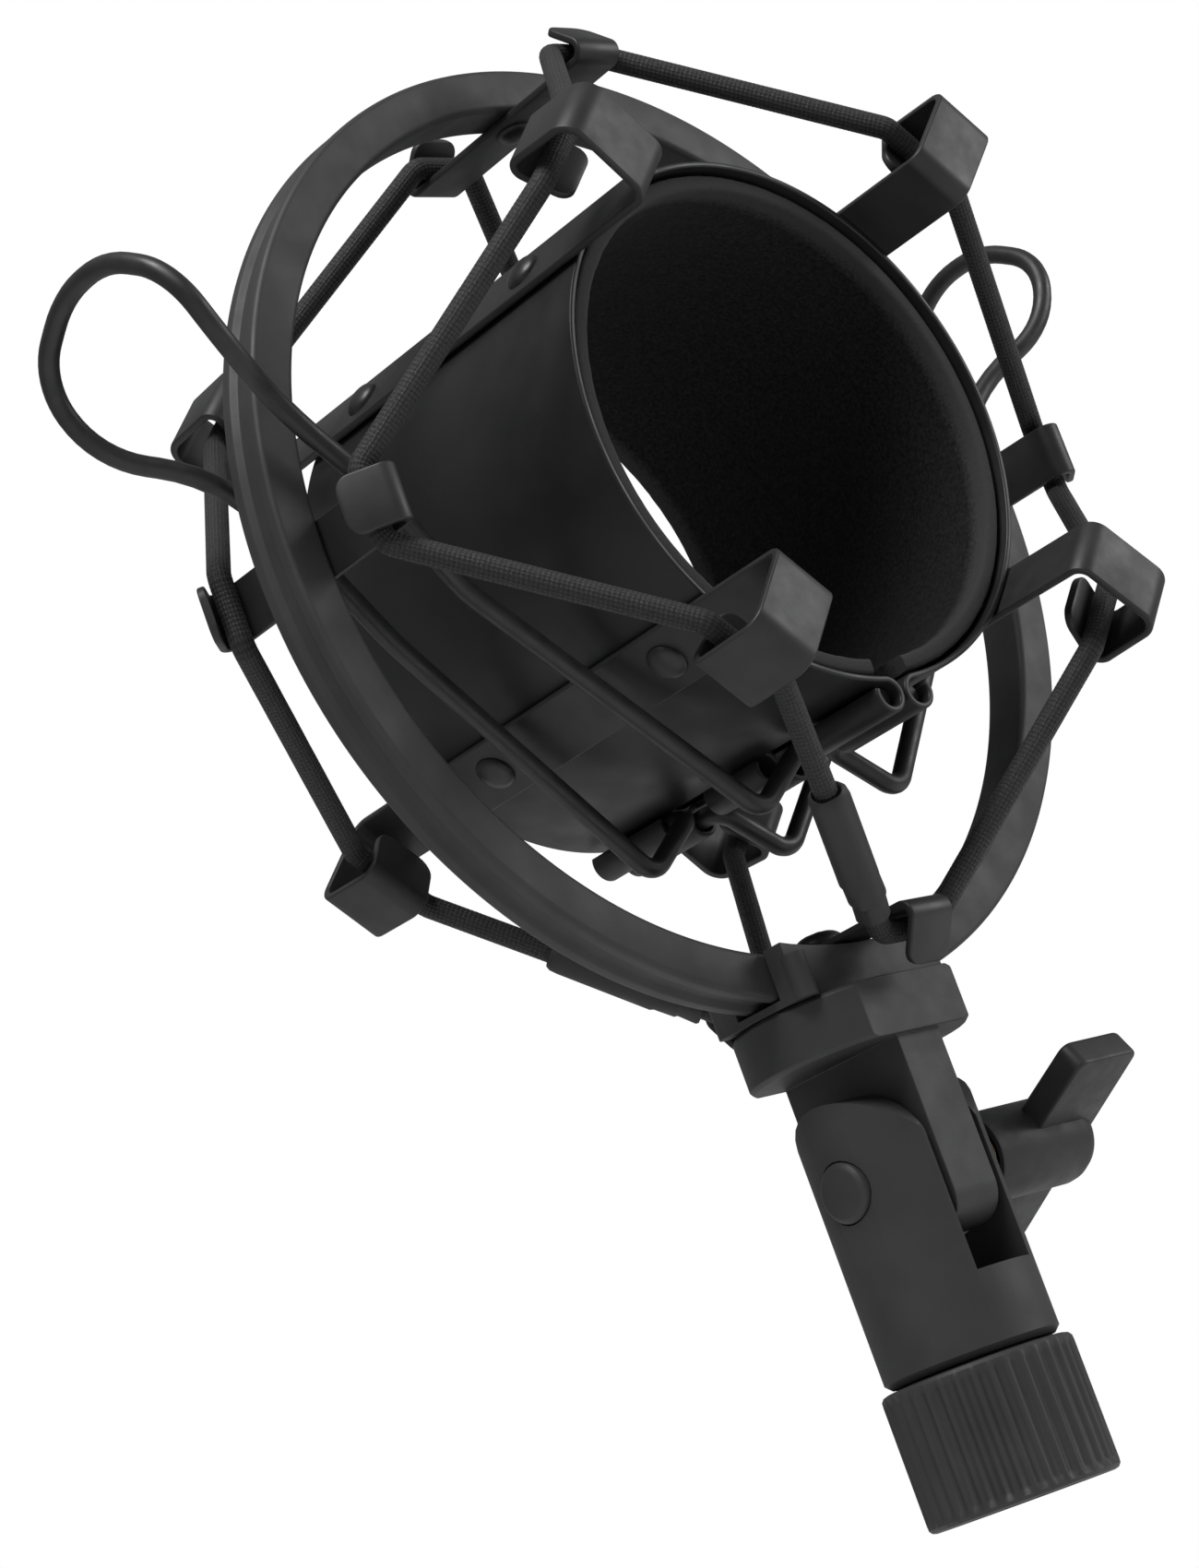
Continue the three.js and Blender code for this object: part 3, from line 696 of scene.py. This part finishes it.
def wing_plate(name, outline, thick, turn, boss):
    """A plate with a small round along both edges of its outline."""
    centre = Vector((sum(p[0] for p in outline), sum(p[1] for p in outline))) / len(outline)
    lean = math.radians(turn)
    rings = []
    edge = WING["edge"]
    rounds = [math.radians(a) for a in range(0, 91, 18)]
    steps = [(edge * (1 - math.sin(a)), thick / 2 - edge * (1 - math.cos(a))) for a in rounds]
    for inset, through in [(i, -t) for i, t in steps] + steps[::-1]:
        ring = []
        for x, reach in outline:
            way = Vector((x, reach)) - centre
            p = Vector((x, reach)) - way.normalized() * inset
            across = -p.y * math.sin(lean) - through * math.cos(lean)
            ring.append((p.x, across, PIVOT_Z + p.y * math.cos(lean) - through * math.sin(lean)))
        rings.append(ring)
    points, faces = loft(rings)
    made = piece(name, points, faces, PLASTIC, 50)
    made.parent = boss


# ---- ring ----
def ring():
    """A cast ring with a groove round its rim between a narrow front ridge and a rounder rear one."""
    outer, half = RING_OUTER, RING_HALF
    inner = outer - RING_WALL
    corners = [
        (inner, -half, 0.7),
        (outer, -half, 0.55),
        (outer, -half + 1.35, 0.3),
        (outer - 0.6, -half + 1.8, 0.25),
        (outer - 0.6, half - 2.2, 0.25),
        (outer, half - 1.7, 0.35),
        (outer, half, 0.9),
        (inner, half, 0.9),
    ]
    start = (inner, 0.0, 0)
    line = rounded_flat([start, *corners, start], 15)[:-1]
    made = turned("ring", line, COAT, round_ring, segments=288, joined=True)
    stand_for(made, "head", "paint", "outer_ring")


def rivet(name, place, seat, way, body, node):
    """A domed rivet head on its seat, a hair clear of the sheet, with the shank under it."""
    r, high = RIVET["r"], RIVET["high"]
    turns = [math.radians(a) for a in range(0, 90, 10)]
    dome = [(r * math.cos(t), seat + way * high * math.sin(t)) for t in turns]
    profile = [(0.9, seat - way * 0.9), (1.0, seat), (r * 0.96, seat), *dome, (CLOSED, seat + way * high)]
    made = turned(name, profile, STEEL, place, segments=36)
    stand_for(made, body, "dark_steel", node)


def strip_widths(line, width, corner):
    """Widths for a strip whose two ends have rounded corners."""
    lengths = [0.0]
    for start, end in zip(line, line[1:]):
        lengths.append(lengths[-1] + math.dist(start, end))
    out = []
    for length in lengths:
        s = min(length, lengths[-1] - length)
        inset = corner - math.sqrt(corner**2 - (corner - s) ** 2) if s < corner else 0
        out.append((inset - width / 2, width / 2 - inset))
    return out


def hook_strip(name, half_line, width, corner, angle, z):
    """A double-ended hook from the (radius, y, bend radius) corners of its rear half."""
    mirrored = [(r, -y, bend) for r, y, bend in half_line][::-1]
    line = rounded_flat([*mirrored, *half_line])
    line = with_end_points(line, [corner * (1 - math.cos(math.radians(a))) for a in range(15, 91, 15)])
    widths = strip_widths(line, width, corner)
    return ribbon(name, line, widths, SHEET, on_axis(angle, z), SHEET_COAT, rim=0.22)


def ring_hooks():
    """Four hooks round the ring, three of them riveted; the foot's screw holds the bottom one."""
    for side, angle in SIDES.items():
        tip = RING_HOOK["bottom_tip" if side == "bottom" else "tip"]
        half_line = [(RING_HOOK["r"], RING_HOOK["bend_at"], 1.1), (*tip, 0)]
        width = RING_HOOK["width"]
        made = hook_strip("hook_on_ring_" + side, half_line, width, RING_HOOK_CORNER, angle, RING_Z)
        stand_for(made, "head", "paint", "ring_hook_" + side)
        if side != "bottom":
            seat = RING_HOOK["r"] - SHEET / 2 - RIVET["gap"]
            place = spoke(angle, 0, RING_Z)
            rivet("rivet_on_ring_" + side, place, seat, -1, "head", "ring_rivet_" + side)


def foot_screw():
    """Domed head with a hexagon socket, in the bottom hook."""
    seat = RING_Z - RING_HOOK["r"] + SHEET / 2
    top = box_mm("foot_screw")[1].z
    turns = [math.radians(a) for a in range(0, 61, 10)]
    dome = [(2.6 * math.cos(t) ** 0.7, seat + 0.25 + (top - seat - 0.25) * math.sin(t)) for t in turns]

    def shape(radius, h, t):
        return 1.15 / math.cos((t % (math.pi / 3)) - math.pi / 6) if radius < 1.3 else radius

    profile = [(2.5, seat), *dome, (1.29, top - 0.1), (1.29, top - 0.9), (CLOSED, top - 0.9)]
    made = turned("screw_head", profile, STEEL, upright, segments=72, shape=shape)
    stand_for(made, "head", "dark_steel", "foot_screw")


# ---- cradle ----
def cradle_hooks():
    """Four hooks round the cradle, each riveted to its half at the front and the rear."""
    for place, angle in HOOK_ANGLES.items():
        body = "half_" + place.split("_")[1]
        width, corner = CRADLE_HOOK_WIDTH, CRADLE_HOOK_CORNER
        made = hook_strip("hook_on_cradle_" + place, CRADLE_HOOK, width, corner, angle, CRADLE_Z)
        stand_for(made, body, "paint", "cradle_hook_" + place)
        for end, y in (("front", -RIVET["y"]), ("rear", RIVET["y"])):
            name = f"{place}_{end}"
            seat = CRADLE_HOOK[0][0] + SHEET / 2 + RIVET["gap"]
            at = spoke(angle, y, CRADLE_Z)
            rivet("rivet_on_cradle_" + name, at, seat, 1, body, "cradle_rivet_" + name)


def hinge_blend(made):
    """Bakes a sheet of the cradle's placement into its mesh."""
    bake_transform(made)


def sleeves():
    """The sprung sheet: each half from the middle of the top to its slot edge, curled into short tubes."""
    turn_at = 180 - math.degrees(math.asin(CURL_X / (SLEEVE_R + CURL_R)))
    sheet = arc(SLEEVE_R, 0, turn_at, 90)
    centre = Vector((CURL_X, CURL_Z - CRADLE_Z))
    first = math.atan2(sheet[-1][1] - centre.y, sheet[-1][0] - centre.x)
    turns = [first + math.radians(CURL_TURN * i / 36) for i in range(37)]
    curl = [(centre.x + CURL_R * math.cos(t), centre.y + CURL_R * math.sin(t)) for t in turns]
    tabs = [(-SLEEVE_HALF, -NOTCH[1]), (-NOTCH[0], NOTCH[0]), (NOTCH[1], SLEEVE_HALF)]
    for name, side in (("left", -1), ("right", 1)):
        widths = [(-SLEEVE_HALF, SLEEVE_HALF)] * len(sheet)
        made = ribbon("sleeve_sheet_" + name, sheet, widths, SLEEVE_THICK, in_cradle(side), SPRUNG)
        nodes = ["sleeve_" + name] + (["sleeve_spine"] if side < 0 else [])
        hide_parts(*nodes)
        hinge_blend(made)
        for i, (low, high) in enumerate(tabs):
            widths = [(low, high)] * len(curl)
            tab = ribbon(f"sleeve_curl_{name}_{i + 1}", curl, widths, SLEEVE_THICK, in_cradle(side), SPRUNG)
            stand_for(tab, "half_" + name, "paint")


def linings():
    """Each half's felt, from the middle of the top to short of the slot edge."""
    low, high = box_mm("lining_right")
    middle = high.x - LINING_THICK / 2
    for name, side in (("left", -1), ("right", 1)):
        line = arc(middle, 0, 175, 110)
        widths = [(low.y, high.y)] * len(line)
        place = in_cradle(side)
        made = ribbon("felt_" + name, line, widths, LINING_THICK, place, FELT, rim=0.4, cells=60, rough=0.08)
        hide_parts("lining_" + name)
        hinge_blend(made)


def handles():
    """One bent wire each, from its front end in the curled edge, round the finger loop, to its rear end."""
    for name, side in (("left", -1), ("right", 1)):
        front = [(-side * x, y, z, bend) for x, y, z, bend in HANDLE_HALF]
        rear = [(x, -y, z, bend) for x, y, z, bend in front][::-1]
        line = rounded([*front, *rear], 6)
        made = tube("wire_" + name, even_line(line, 3.0), WIRE_R, WIRE, sides=20)
        stand_for(made, "lever_" + name, "wire", "handle_" + name)


# ---- cords ----
def beside_hook(angle, on_ring, way, end):
    """Where the cord turns beside a hook. way is -1 before it and 1 after it, going clockwise."""
    at = CORD_ON_RING if on_ring else CORD_ON_CRADLE
    z = RING_Z if on_ring else CRADLE_Z
    a = math.radians(angle)
    x = at["r"] * math.sin(a) + way * at["side"] * math.cos(a)
    up = at["r"] * math.cos(a) - way * at["side"] * math.sin(a)
    return Vector((x, end * at["y"], z + up))


def split_point(ring_angle, way, end):
    """Where the stretch from a ring hook to the next cradle hook is divided."""
    on_ring = beside_hook(ring_angle, True, way, end)
    on_cradle = beside_hook(ring_angle + way * 45, False, -way, end)
    return on_ring.lerp(on_cradle, CORD_SPLIT)


def yarns(u, v):
    """The height of the crossing yarns, as in the braid's material."""
    turns = 2 * math.pi * BRAID_YARNS * u
    return BRAID_RELIEF * math.sin(turns + 2 * math.pi * v) * math.sin(turns - 2 * math.pi * v)


def cord_stretch(name, points):
    """A stretch of cord that turns twice beside its hook."""
    start, first, second, last = points
    line = rounded([(*start, 0), (*first, CORD_BEND), (*second, CORD_BEND), (*last, 0)], 6)
    spaced = even_line(line, CORD_STEP)
    made = tube(name, spaced, CORD_R, BRAID, sides=40, relief=yarns, pitch=BRAID_PITCH)
    return made


def blend_along(made):
    """Bakes a stretch's placement into its mesh."""
    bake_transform(made)


def cords():
    """Each cord in eight stretches, one round each hook, meeting between the hooks."""
    for name, end in (("front", -1), ("rear", 1)):
        for i, (side, angle) in enumerate(SIDES.items()):
            ends = [split_point(angle, way, end) for way in (-1, 1)]
            turns = [beside_hook(angle, True, way, end) for way in (-1, 1)]
            made = cord_stretch(f"{name}_cord_ring_{side}", (ends[0], *turns, ends[1]))
            if i == 0:
                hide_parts(name + "_cord")
            blend_along(made)
            if side == "bottom":
                crimp(name, turns[1], ends[1])
        for place, angle in HOOK_ANGLES.items():
            ends = [split_point(angle - way * 45, way, end) for way in (1, -1)]
            turns = [beside_hook(angle, False, way, end) for way in (-1, 1)]
            made = cord_stretch(f"{name}_cord_cradle_{place}", (ends[0], *turns, ends[1]))
            blend_along(made)


def crimp(name, start, end):
    """The sleeve over the cord's join: a moulded tube with a stepped, slightly ragged lower end."""
    along = (end - start).normalized()
    middle = start + along * CRIMP["from"]
    turn = Vector((0, 0, 1)).rotation_difference(along)
    r, half = CRIMP["r"], CRIMP["half"]
    profile = [
        (1.35, -half + 0.15),
        (1.6, -half),
        (r - 0.5, -half),
        (r - 0.3, -half + 0.25),
        (r - 0.3, -half + 2.2),
        (r - 0.1, -half + 2.5),
        (r - 0.1, -half + 4.6),
        (r, -half + 5.0),
        (r, half - 1.2),
        (r - 0.12, half - 0.4),
        (r - 0.4, half),
        (1.6, half),
        (1.35, half - 0.15),
    ]

    def shape(radius, h, t):
        if radius < 1.5:
            return radius
        return radius - 0.07 * (1 + math.sin(3 * t + h)) - 0.05 * (1 + math.sin(5 * t - 2.3 * h))

    def along_cord(x, y, h):
        return middle + turn @ Vector((x, y, h))

    made = turned(name + "_crimp", profile, RUBBER, along_cord, 40, True, shape)
    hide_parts(name + "_cord_sleeve")
    blend_along(made)


# ---- the rest of the frame ----
def finished_nodes():
    """The CAD pieces whose shape is right as it is, each with its edges rounded by a width in millimetres."""
    for node, material, slot, body, edge in (
        ("stem_yoke", COAT, "paint", "stem", 0.3),
        ("tilt_foot", COAT, "paint", "head", 0.3),
        ("ring_saddle", COAT, "paint", "head", 0.3),
        ("retaining_ring", STEEL, "dark_steel", "stem", 0.1),
        ("friction_washer_left", NYLON, "nylon", "stem", 0.08),
        ("friction_washer_right", NYLON, "nylon", "stem", 0.08),
        ("knob_insert", BRASS, "brass", "knob", 0.1),
    ):
        from_cad(node, material, slot, body, edge)


# ---- studio ----
def studio():
    """The camera, a pale floor, a white world and two soft lamps."""
    look_through_camera()
    lay_floor()
    light_world()
    hang_lamps()


def look_through_camera():
    """A long lens, low in front and to the left, rolled so that the stem leans to the lower right."""
    camera = bpy.data.objects.new("camera", bpy.data.cameras.new("camera"))
    bpy.context.collection.objects.link(camera)
    right = Vector((0.7159, -0.6130, -0.3342))
    up = Vector((0.1003, -0.3834, 0.9182))
    back = Vector((-0.6910, -0.6908, -0.2130))
    turn = Matrix((right, up, back)).transposed().to_4x4()
    camera.matrix_world = Matrix.Translation((-0.2734, -0.2527, -0.0024)) @ turn
    camera.data.lens = 89.16
    camera.data.sensor_width = 36
    camera.data.sensor_fit = "AUTO"
    camera.data.clip_start = 0.01
    bpy.context.scene.camera = camera


def lay_floor():
    """A pale matt square well under the object, with its size and height in metres."""
    mesh = bpy.data.meshes.new("floor")
    far, low = 2.2, -0.16
    corners = [(-far, -far, low), (far, -far, low), (far, far, low), (-far, far, low)]
    mesh.from_pydata(corners, [], [(0, 1, 2, 3)])
    pale = Finish("floor", 0.9, specular=0.1)
    pale.colours(pale.noise(3, 1), (0.86, 0.86, 0.86), (0.9, 0.9, 0.9))
    mesh.materials.append(pale.material)
    floor = bpy.data.objects.new("floor", mesh)
    bpy.context.collection.objects.link(floor)


def light_world():
    """White behind the object, but a dimmer fill on it."""
    world = bpy.data.worlds.new("studio")
    bpy.context.scene.world = world
    world.use_nodes = True
    seen = world.node_tree.nodes["Background"]
    seen.inputs["Strength"].default_value = 1.0
    fill = world.node_tree.nodes.new("ShaderNodeBackground")
    fill.inputs["Color"].default_value = (0.97, 0.98, 1, 1)
    fill.inputs["Strength"].default_value = 0.3
    seen.inputs["Color"].default_value = (1, 1, 1, 1)
    ray = world.node_tree.nodes.new("ShaderNodeLightPath")
    mix = world.node_tree.nodes.new("ShaderNodeMixShader")
    world.node_tree.links.new(ray.outputs["Is Camera Ray"], mix.inputs["Fac"])
    world.node_tree.links.new(fill.outputs[0], mix.inputs[1])
    world.node_tree.links.new(seen.outputs[0], mix.inputs[2])
    world.node_tree.links.new(mix.outputs[0], world.node_tree.nodes["World Output"].inputs["Surface"])
    bpy.context.scene.view_settings.view_transform = "Standard"


def hang_lamps():
    """Square lamps that face the object's middle: (name, place from the middle, width, watts)."""
    middle = (Vector(cad_box[0]) + Vector(cad_box[1])) / 2
    for name, place, size, power in (
        ("key", (-0.45, -0.25, 0.85), 0.45, 13.0),
        ("side", (0.65, -0.6, 0.25), 0.4, 4.0),
    ):
        light = bpy.data.lights.new(name, "AREA")
        light.size = size
        light.energy = power
        lamp = bpy.data.objects.new(name, light)
        bpy.context.collection.objects.link(lamp)
        lamp.location = middle + Vector(place)
        lamp.rotation_euler = (-Vector(place)).to_track_quat("-Z", "Y").to_euler()


studio()
collar()
bolt()
wing_knob()
ring()
ring_hooks()
foot_screw()
cradle_hooks()
sleeves()
linings()
handles()
cords()
finished_nodes()
